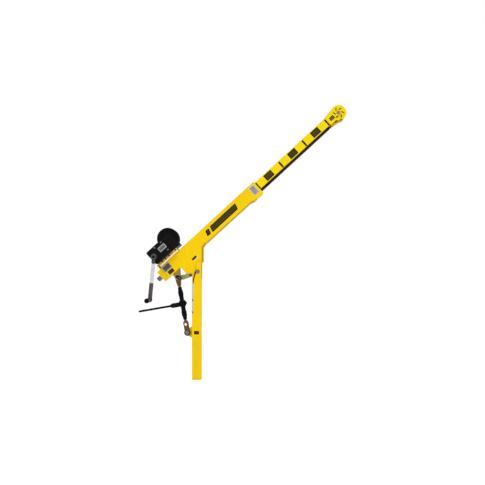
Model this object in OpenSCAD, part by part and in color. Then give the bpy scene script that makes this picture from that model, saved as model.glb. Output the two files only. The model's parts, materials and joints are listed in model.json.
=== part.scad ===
// Portable telescoping davit crane: a square mast, a luffing box boom with a
// screw-driven extension, a ratchet jack that luffs it, and a geared hand winch.
// Millimetres. +Z runs up the mast, +X towards the boom's tip, and the origin is
// the centre of the mast's lower end, where it drops over a base's post.

/* [Mast] */
// Side of the square mast tube
mast_w = 76.2; // [72:0.1:80]
// Wall of the mast tube
mast_wall = 4.8; // [4:0.1:5.5]
// Height of the tube below the fork
fork_z = 812; // [805:1:814]
// Bore of the socket bushes that turn on the base's post
socket_d = 51; // [40:0.5:56]

/* [Boom] */
// Elevation of the boom as built, in degrees
boom_angle = 42.6; // [40:0.1:44]
// Height of the boom's pivot
pivot_z = 867; // [860:1:872]
// Distance of the boom's pivot in front of the mast's centre
pivot_x = 8; // [6:1:10]
// Reach of the outer boom from the pivot to its mouth
mouth_u = 817; // [800:1:830]
// Height of the outer boom's box
outer_h = 108; // [106:1:110]
// Overall width of the outer boom's box
outer_w = 65; // [64:0.5:65]
// Thickness of the boom's plates
plate = 5; // [4:0.5:5]

/* [Boom extension] */
// Height of the inner boom's tube
inner_h = 76.2; // [74:0.1:77]
// Width of the inner boom's tube
inner_w = 50.8; // [48:0.1:50.8]
// Travel of the boom extension
extend_travel = 762; // [700:1:762]
// Radius of the head's cheeks
head_r = 62; // [60:1:64]
// Radius of the sheave
sheave_r = 50; // [46:1:52]

/* [Winch] */
// Radius of the drum's flanges
drum_flange_r = 87; // [84:1:88]
// Radius of the drum's barrel
drum_r = 34; // [25:1:45]
// Module of the gears
gear_m = 3; // [3:0.5:3]
// Length of the crank between its two centres
crank_l = 338; // [250:1:350]

/* [Jack] */
// Radius of the jack's barrel in its middle
barrel_r = 18; // [16:0.5:19]
// Radius of the jack's screws at the foot of their threads
screw_r = 10.2; // [9:0.1:10.2]
// Length of the ratchet handle from the jack's axis
handle_l = 361; // [300:1:380]

/* [Hidden] */
$fn = 64;

gap = 0.06;                          // radial running clearance of a shaft
mast_in = mast_w - 2 * mast_wall;    // inside of the mast tube
pin_r = 12.5;                        // boom pivot pin
bolt_r = 8;                          // jack pins

// Boom sections: v is measured square to the boom from the pivot.
bottom_v = 119;                      // underside of the outer boom
top_v = bottom_v + outer_h;
chin_v = 106;                        // underside of the mouth's chin
heel_u = -200;                       // rear end of the side plates
side_in = outer_w / 2 - plate;       // inner face of the side plates
inner_v = 140;                       // underside of the inner tube
inner_top = inner_v + inner_h;
inner_wall = 4.8;
tail_u = 574;                        // rear end of the inner tube
head_u = mouth_u + extend_travel + 4;  // start of the head's cheeks
strip_end_u = head_u - 15;
sheave_u = 1695;
sheave_v = 172;
cheek_t = 6;                         // thickness of a head cheek
screw_v = 168;                       // extension screw's axis
drive_r = 10;                        // extension screw's radius

// Jack: its two pins as built, its own axis runs from the lower to the upper.
jack_low = [-77, 374.5];
jack_up = [-155, 824];
jack_d = jack_up - jack_low;
jack_len = norm(jack_d);
jack_tilt = atan2(jack_d[0], jack_d[1]);
up_u = (jack_up[0] - pivot_x) * cos(boom_angle) + (jack_up[1] - pivot_z) * sin(boom_angle);
up_v = -(jack_up[0] - pivot_x) * sin(boom_angle) + (jack_up[1] - pivot_z) * cos(boom_angle);
barrel_from = 107;
barrel_to = 371;
low_screw_to = 222;                  // inner ends of the two screws
up_screw_from = 248;
thread = 0.8;                        // height of the screws' threads
ratchet_s = 233;                     // the handle's place along the jack
ratchet_r = 27.5;
ratchet_boss_l = 32;                 // reach of the boss behind the handle
socket_l = [28, 88];                 // the handle's socket, measured from the jack's axis
handle_r = 8.5;

// Winch centres in the boom's frame.
crank_c = [-168, 308];
drum_c = [3, 355];
crank_teeth = 13;
mid_teeth = 30;
mid_pinion_teeth = 22;
drum_teeth = 56;
first_stage = gear_m * (crank_teeth + mid_teeth) / 2;
second_stage = gear_m * (mid_pinion_teeth + drum_teeth) / 2;
drum_dir = drum_c - crank_c;
span = norm(drum_dir);
span_a = atan2(drum_dir[1], drum_dir[0]);
mid_lift = acos((first_stage * first_stage + span * span - second_stage * second_stage)
    / (2 * first_stage * span));
mid_c = crank_c + first_stage * [cos(span_a - mid_lift), sin(span_a - mid_lift)];
mid_a = atan2(drum_c[1] - mid_c[1], drum_c[0] - mid_c[0]);
side_y = 51;                         // inner face of the winch's side plates
side_t = 5;                          // their thickness
base_v = 253;                        // underside of the winch's base
base_t = 5;
base_u = -192;                       // rear end of the winch's base
front_u = 46;                        // its front end
bracket_t = 6;
cover_y = -90;                       // outer face of the gear cover
arm_y = -119;                        // outer face of the crank arm
arm_t = 8;
arm_w = 27;
hub_y = arm_y - 16;                  // outer face of the crank's hub
sleeve_from = 205;                   // start of the crank's sleeve, from its shaft
grip_y = -232;                       // outer end of the crank's grip
crank_lean = 5.45;                   // crank's lean from the plumb line

yellow = "#f1c805";
black = "#1c1c1e";
zinc = "#b9bcc0";
brass_zinc = "#9c7c34";

// ---- helpers ----

// The boom's own frame: X along it, Z square to it, origin at the pivot.
module in_boom() { translate([pivot_x, 0, pivot_z]) rotate([0, -boom_angle, 0]) children(); }

// The jack's own frame: Z along it, origin at its lower pin.
module in_jack() { translate([jack_low[0], 0, jack_low[1]]) rotate([0, jack_tilt, 0]) children(); }

// The crank's own frame: Z from its shaft towards its grip.
module in_crank() {
    in_boom() translate([crank_c[0], 0, crank_c[1]])
        rotate([0, boom_angle + 180 + crank_lean, 0]) children();
}

// Extrudes an outline drawn in X and Z from y0 to y1.
module slab(y0, y1) { translate([0, y1, 0]) rotate([90, 0, 0]) linear_extrude(y1 - y0) children(); }

// A round bar along Y.
module rod(r, y0, y1) { translate([0, y1, 0]) rotate([90, 0, 0]) cylinder(r = r, h = y1 - y0); }

// The same piece on both sides of the centre plane.
module both_sides() { children(); mirror([0, 1, 0]) children(); }

// An outline and its mirror image across the line X = 0.
module both_ways() { children(); mirror([1, 0]) children(); }

// A box given by its two corners.
module block(a, b) { translate(a) cube(b - a); }

// A square outline with round corners.
module round_square(w, r) {
    square([w - 2 * r, w], center = true);
    square([w, w - 2 * r], center = true);
    for (x = [-1, 1], y = [-1, 1]) translate([x, y] * (w / 2 - r)) circle(r);
}

// A rectangle with round corners, from one corner to the other.
module round_rect(a, b, r) {
    translate([a[0] + r, a[1]]) square([b[0] - a[0] - 2 * r, b[1] - a[1]]);
    translate([a[0], a[1] + r]) square([b[0] - a[0], b[1] - a[1] - 2 * r]);
    for (x = [a[0] + r, b[0] - r], y = [a[1] + r, b[1] - r]) translate([x, y]) circle(r);
}

// A slot with round ends, l long and w wide, along X.
module slot_2d(l, w) {
    square([l - w, w], center = true);
    for (s = [-1, 1]) translate([s * (l - w) / 2, 0]) circle(w / 2);
}

// A spur gear's outline with straight flanks between the involute's ends.
function inv(a) = tan(a) * 180 / PI - a;
function half_tooth(z, r) = let (rb = gear_m * z / 2 * cos(20))
    90 / z - 0.16 * 180 / PI / (gear_m * z / 2) + inv(20) - (r > rb ? inv(acos(rb / r)) : 0);
function gear_points(z) = let (root = gear_m * (z / 2 - 1.2), tip = gear_m * (z / 2 + 0.9))
    [for (i = [0:z - 1], k = [[root, -1], [tip, -1], [tip, 1], [root, 1]])
        let (a = 360 * i / z + k[1] * half_tooth(z, k[0])) k[0] * [cos(a), sin(a)]];
module gear_2d(z, phase, bore) {
    difference() { rotate(phase) polygon(gear_points(z)); circle(bore); }
}

// ---- mast ----

module ear_outline() {
    ear_r = 21;
    ear_x = mast_w / 2 - ear_r;
    ear_z = pivot_z + 59;
    polygon([[-mast_w / 2, fork_z - 1], [mast_w / 2, fork_z - 1], [mast_w / 2, ear_z],
        [ear_x - ear_r, ear_z], [ear_x - ear_r, pivot_z + 8], [-mast_w / 2, pivot_z - 44]]);
    translate([ear_x, ear_z]) circle(ear_r);
}

module mast_tube() {
    color(yellow) difference() {
        intersection() {
            linear_extrude(pivot_z + 100) difference() {
                round_square(mast_w, 6);
                square(mast_in, center = true);
            }
            union() {
                block([-mast_w, -mast_w, 0], [mast_w, mast_w, fork_z]);
                slab(-mast_w, mast_w) ear_outline();
            }
        }
        block([-mast_w, -mast_in / 2, fork_z], [mast_w, mast_in / 2, pivot_z + 100]);
        translate([pivot_x, 0, pivot_z]) rod(pin_r, -mast_w, mast_w);
    }
}

module socket_bush(z, h) {
    color(black) translate([0, 0, z]) linear_extrude(h) difference() {
        square(mast_in, center = true);
        circle(d = socket_d);
    }
}

module lower_socket_bush() { socket_bush(0, 45); }

module upper_socket_bush() {
    socket_bush(255, 45);
    color(black) block([-mast_in / 2, -mast_in / 2, 300], [mast_in / 2, mast_in / 2, 308]);
}

module mast_jack_lug() {
    color(yellow) slab(-7, 7) difference() {
        union() {
            translate(jack_low) circle(24);
            polygon([jack_low + [-4, 23.5], [-mast_w / 2, jack_low[1] + 52],
                [-mast_w / 2, jack_low[1] - 45], jack_low + [-2, -23.8]]);
        }
        translate(jack_low) circle(bolt_r);
    }
}

module pivot_pin() {
    color(zinc) translate([pivot_x, 0, pivot_z]) {
        rod(pin_r, -mast_w / 2 - 1, mast_w / 2 + 12);
        difference() {
            rod(15, -mast_w / 2 - 8, -mast_w / 2);
            rod(7, -mast_w / 2 - 9, -mast_w / 2 - 6);
        }
        rod(19, mast_w / 2, mast_w / 2 + 3);
        translate([0, mast_w / 2 + 7, -22]) cylinder(r = 2, h = 44);
    }
}

module lower_jack_bolt() {
    color(zinc) translate([jack_low[0], 0, jack_low[1]]) {
        rod(bolt_r, -18, 28);
        rod(26, -25, -16.6);
        rod(17, 16.6, 19);
        rod(13.5, 19, 27, $fn = 6);
    }
}

// ---- outer boom ----

// The chin's S-curve, from the straight underside down to the chin.
chin_curve = [for (i = [0:8]) [mouth_u - 72 - 55 * i / 8,
    chin_v + (bottom_v - chin_v) * (1 - cos(180 * i / 8)) / 2]];
gusset_front = [[206, bottom_v], [165, 111], [87, 27]];
gusset_foot = [[66, 30], [28, -8], [-20, -22], [-50, 14], [-80, 36], [-76, bottom_v]];

module side_plate_outline() {
    difference() {
        union() {
            polygon(concat([[heel_u, top_v], [mouth_u, top_v], [mouth_u, chin_v]], chin_curve,
                gusset_front, gusset_foot, [[heel_u, bottom_v]]));
            circle(30);
        }
        circle(pin_r + gap);
    }
}

module side_plate_near() {
    color(yellow) in_boom() slab(-outer_w / 2, -side_in) side_plate_outline();
}

module side_plate_far() {
    color(yellow) in_boom() slab(side_in, outer_w / 2) side_plate_outline();
}

module boom_top_plate() {
    color(yellow) in_boom()
        block([heel_u, -side_in, top_v - plate], [mouth_u, side_in, top_v]);
}

module boom_bottom_plate() {
    inside = [for (p = chin_curve) p + [0, plate]];
    color(yellow) in_boom() slab(-side_in, side_in) polygon(concat(
        [[mouth_u, chin_v]], chin_curve, [[heel_u, bottom_v], [heel_u, bottom_v + plate]],
        [for (i = [len(inside) - 1:-1:0]) inside[i]], [[mouth_u, chin_v + plate]]));
}

module gusset_front_plate() {
    color(yellow) in_boom() slab(-side_in, side_in)
        polygon(concat(gusset_front, [[83.3, 30.4], [161.5, 115.3], [180, bottom_v]]));
}

module pivot_tube() {
    color(yellow) in_boom() difference() {
        rod(24, -side_in, side_in);
        rod(pin_r + gap, -side_in - 1, side_in + 1);
    }
}

module heel_bulkhead() {
    color(yellow) in_boom() difference() {
        block([heel_u, -side_in, bottom_v + plate], [heel_u + 8, side_in, top_v - plate]);
        translate([heel_u - 1, 0, screw_v]) rotate([0, 90, 0]) cylinder(r = drive_r + 1, h = 10);
    }
}

module heel_stub() {
    stub = [heel_u - 45, heel_u];
    color(yellow) in_boom() difference() {
        translate([stub[0], 0, screw_v]) rotate([90, 0, 90])
            linear_extrude(45) round_rect([-side_in, -49], [side_in, 49], 8);
        block([stub[0] + 6, -side_in + plate, screw_v - 43], [heel_u + 1, side_in - plate, screw_v + 43]);
        translate([stub[0] - 1, 0, screw_v]) rotate([0, 90, 0]) cylinder(r = 14, h = 10);
    }
}

module heel_bush() {
    color(brass_zinc) in_boom() translate([heel_u - 49, 0, screw_v]) rotate([0, 90, 0])
        difference() {
            union() { cylinder(r = 20, h = 4); cylinder(r = 14, h = 10); }
            translate([0, 0, -1]) cylinder(r = drive_r + gap, h = 12);
        }
}

module mouth_pads() {
    pad = [mouth_u - 62, mouth_u - 4];
    color(black) in_boom() {
        block([pad[0], -side_in, chin_v + plate], [pad[1], side_in, inner_v - 12]);
        block([pad[0], -side_in, inner_top + 0.3], [pad[1], side_in, top_v - plate]);
        both_sides() block([pad[0], inner_w / 2 + 0.3, inner_v + 8],
            [pad[1], side_in, inner_top - 8]);
    }
}

module jack_cheeks() {
    color(brass_zinc) in_boom() both_sides() slab(14, 20) difference() {
        union() {
            polygon([[-164, bottom_v], [-88, bottom_v], [up_u + 18, up_v - 12],
                [up_u - 21.5, up_v + 5]]);
            translate([up_u, up_v]) circle(22);
        }
        translate([up_u, up_v]) circle(bolt_r);
    }
}

// Tie plates from the jack's upper pin to the gusset's outer faces.
module jack_strap() {
    color(zinc) in_boom() both_sides() slab(outer_w / 2, outer_w / 2 + 4) difference() {
        union() {
            polygon([[-62, 6], [-42, 20], [-70, 40], [-114, 65], [up_u + 17, up_v + 14],
                [up_u - 12, up_v - 18], [-133, 33]]);
            translate([up_u, up_v]) circle(22);
        }
        translate([up_u, up_v]) circle(bolt_r);
    }
}

module upper_jack_pin() {
    head = outer_w / 2 + 4;
    color(zinc) in_boom() translate([up_u, 0, up_v]) {
        rod(bolt_r, -head - 2, head + 9);
        rod(13.5, -head - 6, -head);
        translate([0, head + 4, -16]) cylinder(r = 1.6, h = 32);
    }
}

module winch_bracket() {
    half = side_y + side_t - 1;
    front = 4;
    web_v = base_v - bracket_t;
    color(brass_zinc) in_boom() difference() {
        union() {
            block([heel_u - bracket_t, -half, web_v], [front, half, base_v]);
            both_sides() block([heel_u - bracket_t, half - bracket_t, web_v - 9],
                [front, half, web_v]);
            block([heel_u - bracket_t, -half + bracket_t, top_v - 9],
                [heel_u, half - bracket_t, web_v]);
        }
        for (u = [-150, -115, -80, -12]) translate([u, 0, web_v - 2]) rod(4, -half - 1, half + 1);
    }
}

// A flat rectangular tube between the boom and the winch's bracket.
module bracket_spacer() {
    high = base_v - bracket_t;
    wall = 5;
    color(zinc) in_boom() difference() {
        block([-190, -45, top_v], [0, 45, high]);
        block([-191, -45 + wall, top_v + wall], [1, 45 - wall, high - wall]);
    }
}

// ---- extension ----

module extension_screw() {
    color(zinc) in_boom() translate([0, 0, screw_v]) rotate([0, 90, 0]) {
        translate([0, 0, heel_u - 83]) cylinder(d = 37, h = 33, $fn = 6);
        translate([0, 0, heel_u - 51]) cylinder(r = drive_r, h = 51 - heel_u + tail_u + 34);
        translate([0, 0, heel_u - 36]) cylinder(r = 16, h = 10);
    }
}

module inner_tube() {
    mid_v = inner_v + inner_h / 2;
    color(yellow) in_boom() translate([tail_u, 0, mid_v]) rotate([90, 0, 90])
        linear_extrude(sheave_u - sheave_r - 20 - tail_u) difference() {
            round_rect([-inner_w / 2, -inner_h / 2], [inner_w / 2, inner_h / 2], 5);
            square([inner_w - 2 * inner_wall, inner_h - 2 * inner_wall], center = true);
        }
}

module wear_strip() {
    color(black) in_boom() block([tail_u, -22, inner_v - 11.7], [strip_end_u, 22, inner_v]);
}

module tail_pads() {
    color(black) in_boom() {
        block([tail_u, -20, inner_top], [tail_u + 64, 20, top_v - plate - 0.3]);
        block([tail_u, -20, bottom_v + plate + 0.3], [tail_u + 64, 20, inner_v - 11.7]);
        both_sides() block([tail_u, inner_w / 2, inner_v + 10],
            [tail_u + 64, side_in - 0.3, inner_top - 10]);
    }
}

module screw_nut() {
    half = inner_w / 2 - inner_wall;
    color(brass_zinc) in_boom() difference() {
        block([tail_u, -half, inner_v + inner_wall], [tail_u + 30, half, inner_top - inner_wall]);
        translate([tail_u - 1, 0, screw_v]) rotate([0, 90, 0])
            cylinder(r = drive_r + gap, h = 32);
    }
}

module head_cheek_outline() {
    difference() {
        union() {
            translate([sheave_u, sheave_v]) circle(head_r);
            polygon([[head_u, 219], [sheave_u - 8, sheave_v + head_r - 0.5],
                [sheave_u, sheave_v], [sheave_u + 25, sheave_v - 56.7],
                [sheave_u - 40, inner_v + 3], [head_u, inner_v + 1]]);
        }
        translate([sheave_u, sheave_v]) {
            circle(bolt_r);
            for (i = [0:5]) rotate(60 * i + 20) translate([34, 0]) rotate(52) slot_2d(26, 7);
        }
        translate([sheave_u - 75, sheave_v - head_r - 20]) square([60, 34]);
    }
}

module head_cheeks() {
    color(yellow) in_boom() both_sides()
        slab(inner_w / 2, inner_w / 2 + cheek_t) head_cheek_outline();
}

// A bent strip under the sheave, from the tube's underside round to the rear of the rope's slot.
module head_guard() {
    turn = [for (a = [-122:4:-98]) [cos(a), sin(a)]];
    color(yellow) in_boom() slab(-inner_w / 2, inner_w / 2) polygon(concat(
        [[head_u, inner_v - 12]],
        [for (t = turn) [sheave_u, sheave_v] + head_r * t],
        [for (i = [len(turn) - 1:-1:0]) [sheave_u, sheave_v] + (head_r - 5) * turn[i]],
        [[head_u + 2, inner_v]]));
}

module sheave_bolt() {
    half = inner_w / 2 + cheek_t;
    color(zinc) in_boom() translate([sheave_u, 0, sheave_v]) {
        rod(bolt_r, -half - 1, half + 12);
        rod(13, -half - 7, -half, $fn = 6);
        rod(13, half, half + 8, $fn = 6);
        both_sides() rod(12, 16, inner_w / 2);
    }
}

module rope_keepers() {
    color(zinc) in_boom() for (a = [112, 62]) translate([sheave_u, 0, sheave_v])
        rotate([0, -a, 0]) translate([head_r - 5, 0, 0]) rod(3.5, -inner_w / 2, inner_w / 2);
}

module sheave() {
    half = 15.5;
    color(black) in_boom() translate([sheave_u, 0, sheave_v]) rotate([90, 0, 0])
        rotate_extrude() difference() {
            translate([12, -half]) square([sheave_r - 12, 2 * half]);
            translate([sheave_r - 4, 0]) circle(7);
            polygon([[sheave_r + 1, -11.5], [sheave_r + 1, 11.5], [sheave_r - 4, 6.9],
                [sheave_r - 4, -6.9]]);
            for (s = [-1, 1]) translate([24, s * (half + 3)])
                polygon([[-3, -7], [11, -7], [13, 7], [-5, 7]]);
        }
}

module sheave_bush() {
    color(brass_zinc) in_boom() translate([sheave_u, 0, sheave_v]) difference() {
        rod(12, -15.5, 15.5);
        rod(bolt_r + gap, -16, 16);
    }
}

// ---- winch ----

module winch_side_outline() {
    top_r = 34;                      // round top at the front, over the drum's axle
    top_c = [front_u - top_r, 344];
    difference() {
        union() {
            polygon([[base_u, base_v], [front_u, base_v], [front_u, top_c[1]], top_c + [0, top_r],
                [-40, 374], [base_u + 10, 374], [base_u, 364]]);
            translate(top_c) circle(top_r);
        }
        translate(drum_c) circle(10);
        translate(crank_c) circle(9.5 + gap);
        translate(mid_c) circle(8 + gap);
    }
}

module winch_side_near() { color(black) in_boom() slab(-side_y - side_t, -side_y) winch_side_outline(); }
module winch_side_far() { color(black) in_boom() slab(side_y, side_y + side_t) winch_side_outline(); }

module winch_base() {
    color(black) in_boom() block([base_u, -side_y, base_v], [front_u, side_y, base_v + base_t]);
}

module gear_cover() {
    wall = 3;
    low = [base_u - 7, base_v + 1];
    high = [-35, 377];
    color(black) in_boom() difference() {
        slab(cover_y, -side_y - side_t) round_rect(low, high, 13);
        slab(cover_y + wall, -side_y) round_rect(low + [wall, wall], high - [wall, wall], 10);
        translate([crank_c[0], 0, crank_c[1]]) rod(12, cover_y - 1, cover_y + wall + 1);
    }
    color(black) in_boom() translate([crank_c[0], 0, crank_c[1]]) difference() {
        rod(19, cover_y - 5, cover_y);
        rod(12, cover_y - 6, cover_y + 1);
    }
}

module winch_fasteners() {
    color(zinc) in_boom() {
        for (c = [[-121, 362], [-54, 361], [-51, 281]]) translate([c[0], 0, c[1]])
            rod(4.5, cover_y - 3, cover_y, $fn = 6);
        for (u = [-150, -30], s = [-1, 1]) translate([u, s * 30, 0]) {
            translate([0, 0, base_v + base_t]) cylinder(r = 8, h = 6, $fn = 6);
            translate([0, 0, base_v - bracket_t - 10]) cylinder(r = 8, h = 5, $fn = 6);
        }
    }
}

module drum_axle() {
    color(black) in_boom() translate([drum_c[0], 0, drum_c[1]]) {
        rod(10, -side_y - side_t, side_y + side_t);
        rod(15, -side_y - side_t - 8, -side_y - side_t, $fn = 6);
        rod(15, side_y + side_t, side_y + side_t + 8, $fn = 6);
    }
}

module winch_drum() {
    color(black) in_boom() translate([drum_c[0], 0, drum_c[1]]) difference() {
        union() {
            rod(drum_r, -31, 40);
            rod(16, -37, 50);
        }
        rod(10 + gap, -38, 51);
    }
}

// A pressed disc with a raised ring round its hub and a rolled rim.
module drum_flange() {
    r = drum_flange_r;
    rotate([90, 0, 0]) rotate_extrude() polygon([[16, 0], [16, 3], [26, 3], [29, 1.6], [58, 1.6],
        [63, 3], [r - 7, 3], [r - 4.5, 4.2], [r - 2, 4.6], [r - 0.5, 3.8], [r, 2.2],
        [r - 0.8, 0.6], [r - 2.4, 0]]);
}

module drum_flanges() {
    color(black) in_boom() translate([drum_c[0], 0, drum_c[1]]) {
        translate([0, -31, 0]) drum_flange();
        translate([0, 40, 0]) mirror([0, 1, 0]) drum_flange();
    }
}

module drum_gear() {
    color(black) in_boom() translate([drum_c[0], 0, drum_c[1]]) slab(-47, -37)
        gear_2d(drum_teeth, mid_a + 180, 10 + gap);
}

module intermediate_gear() {
    away = atan2(crank_c[1] - mid_c[1], crank_c[0] - mid_c[0]);
    color(zinc) in_boom() translate([mid_c[0], 0, mid_c[1]]) slab(-84, -74)
        gear_2d(mid_teeth, away, 8);
}

module intermediate_pinion() {
    color(zinc) in_boom() translate([mid_c[0], 0, mid_c[1]]) {
        rod(8, -86, side_y + side_t);
        slab(-48, -36) gear_2d(mid_pinion_teeth, mid_a + 180 / mid_pinion_teeth, 7.9);
    }
}

module crank_shaft() {
    away = atan2(mid_c[1] - crank_c[1], mid_c[0] - crank_c[0]);
    color(zinc) in_boom() translate([crank_c[0], 0, crank_c[1]]) {
        rod(9.5, arm_y, side_y + side_t);
        slab(-85, -73) gear_2d(crank_teeth, away + 180 / crank_teeth, 9.4);
        rod(17, arm_y + arm_t + 3, -96);
        rod(26, arm_y + arm_t, arm_y + arm_t + 3);
    }
}

module brake_discs() {
    color(brass_zinc) in_boom() translate([crank_c[0], 0, crank_c[1]])
        for (y = [-35, -21.7]) difference() { rod(27, y, y + 4.7); rod(9.5, y - 1, y + 6); }
}

module ratchet_wheel() {
    teeth = 12;
    points = [for (i = [0:teeth - 1], k = [[22, 0], [28, 0.999]])
        k[0] * [cos(360 * (i + k[1]) / teeth), sin(360 * (i + k[1]) / teeth)]];
    color(zinc) in_boom() translate([crank_c[0], 0, crank_c[1]]) slab(-30, -22)
        difference() { polygon(points); circle(9.5 + gap); }
}

pawl_c = crank_c + [33, 38];

module winch_pawl() {
    color(zinc) in_boom() translate([crank_c[0], 0, crank_c[1]]) slab(-30, -22) difference() {
        union() {
            polygon([[24.5, 1.2], [30.5, 0.5], [39, 34], [27, 40], [29, 14]]);
            translate([33, 38]) circle(8);
        }
        translate([33, 38]) circle(4 + gap);
    }
}

module pawl_pin() {
    color(zinc) in_boom() translate([pawl_c[0], 0, pawl_c[1]]) {
        rod(4, -side_y, -16);
        rod(7, -side_y, -31);
        rod(7, -21, -18);
    }
}

module crank_arm() {
    color(zinc) in_crank() slab(arm_y, arm_y + arm_t) difference() {
        union() {
            circle(17);
            translate([-arm_w / 2, 0]) square([arm_w, crank_l]);
            translate([0, crank_l]) circle(arm_w / 2);
        }
        circle(9.5);
        translate([0, crank_l]) circle(5);
    }
}

// The brake's handle nut, with a tongue that lies on the arm.
module crank_hub() {
    color(black) in_crank() difference() {
        union() {
            rod(21, hub_y, arm_y);
            slab(arm_y - 5, arm_y) {
                translate([-arm_w / 2 - 1, 0]) square([arm_w + 2, 40]);
                translate([0, 40]) circle(arm_w / 2 + 1);
            }
        }
        rod(12.5, hub_y - 1, hub_y + 9);
    }
}

module crank_sleeve() {
    wrap = 1.5;
    color(black) in_crank() difference() {
        union() {
            block([-arm_w / 2 - wrap, arm_y - 2, sleeve_from],
                [arm_w / 2 + wrap, arm_y + arm_t + 2, crank_l]);
            translate([0, 0, crank_l]) rod(18, arm_y - 2, arm_y + arm_t + 2);
        }
        slab(arm_y, arm_y + arm_t) {
            translate([-arm_w / 2, sleeve_from - 1]) square([arm_w, crank_l - sleeve_from + 1]);
            translate([0, crank_l]) circle(arm_w / 2);
        }
        translate([0, 0, crank_l]) rod(8, arm_y - 3, arm_y + arm_t + 3);
    }
}

module crank_bolt() {
    color(zinc) in_crank() {
        rod(10, hub_y + 4, hub_y + 9, $fn = 6);
        translate([0, 0, crank_l]) {
            rod(5, grip_y - 1, arm_y + arm_t);
            rod(7.5, arm_y + arm_t, arm_y + arm_t + 6, $fn = 6);
            rod(8, grip_y - 4, grip_y - 1);
        }
    }
}

module crank_grip() {
    grip_l = arm_y - 3 - grip_y;
    color(black) in_crank() translate([0, 0, crank_l]) rotate([90, 0, 0])
        translate([0, 0, 3 - arm_y]) rotate_extrude() polygon(concat(
            [[5 + gap, 0], [12, 0], [14, 3]],
            [for (i = [1:12]) [14 + 5 * (1 - cos(15 * i)) / 2, 3 + (grip_l - 15) * i / 12]],
            [for (a = [15:25:90]) [7 + 12 * cos(a), grip_l - 12 + 12 * sin(a)]],
            [[5 + gap, grip_l]]));
}

// ---- jack ----

module lower_jack_jaw() {
    color(brass_zinc) in_jack() {
        both_sides() slab(8, 16) difference() {
            union() {
                circle(20);
                translate([-20, 0]) square([40, 84]);
                polygon([[-20, 84], [20, 84], [14, 96], [-14, 96]]);
            }
            circle(bolt_r + gap);
            translate([-4, 66]) rotate(90) slot_2d(24, 21);
        }
        slab(-8, 8) polygon([[-19.5, 82], [19.5, 82], [14, 96], [-14, 96]]);
        translate([0, 0, 90]) cylinder(r = screw_r, h = low_screw_to - 90);
    }
}

module jack_barrel() {
    bore = screw_r + thread + gap;
    end_r = 16;
    color(black) in_jack() rotate_extrude() polygon([
        [bore, barrel_from], [end_r - 1.5, barrel_from], [end_r, barrel_from + 2],
        [end_r, barrel_from + 18], [21, 140], [21, 174], [barrel_r, 180], [barrel_r, 299],
        [20.5, 305], [20.5, 330], [end_r, barrel_to - 14], [end_r, barrel_to - 2],
        [end_r - 1.5, barrel_to], [bore, barrel_to]]);
}

module ratchet_head() {
    color(black) in_jack() translate([0, 0, ratchet_s]) difference() {
        union() {
            rotate_extrude() polygon([[0, -20], [23, -20], [ratchet_r, -15], [ratchet_r, 22],
                [22.5, 29], [0, 29]]);
            translate([-socket_l[0], 0, 0]) rotate([0, 90, 0]) cylinder(r = 15, h = socket_l[0]);
            translate([0, 0, 5]) rotate([0, 90, 0]) rotate_extrude()
                polygon([[0, 0], [15, 0], [15, ratchet_boss_l - 7], [10, ratchet_boss_l],
                    [0, ratchet_boss_l]]);
        }
        translate([0, 0, -21]) cylinder(r = barrel_r + gap, h = 51);
    }
}

module handle_socket() {
    rib_pitch = 10;
    color(black) in_jack() translate([0, 0, ratchet_s]) rotate([0, -90, 0]) {
        translate([0, 0, socket_l[0]]) cylinder(r = 17.5, h = socket_l[1] - socket_l[0]);
        for (r = [socket_l[0] + 2:rib_pitch:socket_l[1] - 6])
            translate([0, 0, r]) cylinder(r = 19.5, h = 6);
        translate([0, 0, socket_l[1]]) cylinder(r1 = 16, r2 = 11, h = 12);
    }
}

module handle_rod() {
    from = socket_l[1] + 12;
    color(black) in_jack() translate([0, 0, ratchet_s]) rotate([0, -90, 0]) {
        translate([0, 0, from]) cylinder(r = handle_r, h = handle_l - handle_r - from);
        translate([0, 0, handle_l - handle_r]) sphere(handle_r);
    }
}

module reversing_knob() {
    color(zinc) in_jack() translate([ratchet_boss_l + 0.3, 0, ratchet_s + 5]) rotate([0, 90, 0]) {
        cylinder(r = 8, h = 3);
        translate([-1.5, -8, 3]) cube([3, 16, 2]);
    }
}

module upper_jack_eye() {
    color(brass_zinc) in_jack() {
        translate([0, 0, up_screw_from]) cylinder(r = screw_r, h = jack_len - up_screw_from - 20);
        difference() {
            union() {
                translate([0, 0, jack_len]) rod(25, -12, 12);
                slab(-12, 12) both_ways() polygon([[0, jack_len - 78], [12.5, jack_len - 78],
                    [15.5, jack_len - 66], [18.5, jack_len - 46], [22, jack_len - 12],
                    [0, jack_len - 12]]);
            }
            translate([0, 0, jack_len]) rod(15.5, -13, 13);
        }
    }
}

mast_tube();
lower_socket_bush();
upper_socket_bush();
mast_jack_lug();
pivot_pin();
lower_jack_bolt();
side_plate_near();
side_plate_far();
boom_top_plate();
boom_bottom_plate();
gusset_front_plate();
pivot_tube();
heel_bulkhead();
heel_stub();
heel_bush();
mouth_pads();
jack_cheeks();
jack_strap();
upper_jack_pin();
winch_bracket();
bracket_spacer();
extension_screw();
inner_tube();
wear_strip();
tail_pads();
screw_nut();
head_cheeks();
head_guard();
sheave_bolt();
rope_keepers();
sheave();
sheave_bush();
winch_base();
winch_side_near();
winch_side_far();
gear_cover();
winch_fasteners();
drum_axle();
winch_drum();
drum_flanges();
drum_gear();
intermediate_gear();
intermediate_pinion();
crank_shaft();
brake_discs();
ratchet_wheel();
winch_pawl();
pawl_pin();
crank_arm();
crank_hub();
crank_sleeve();
crank_bolt();
crank_grip();
lower_jack_jaw();
jack_barrel();
ratchet_head();
handle_socket();
handle_rod();
reversing_knob();
upper_jack_eye();
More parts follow.
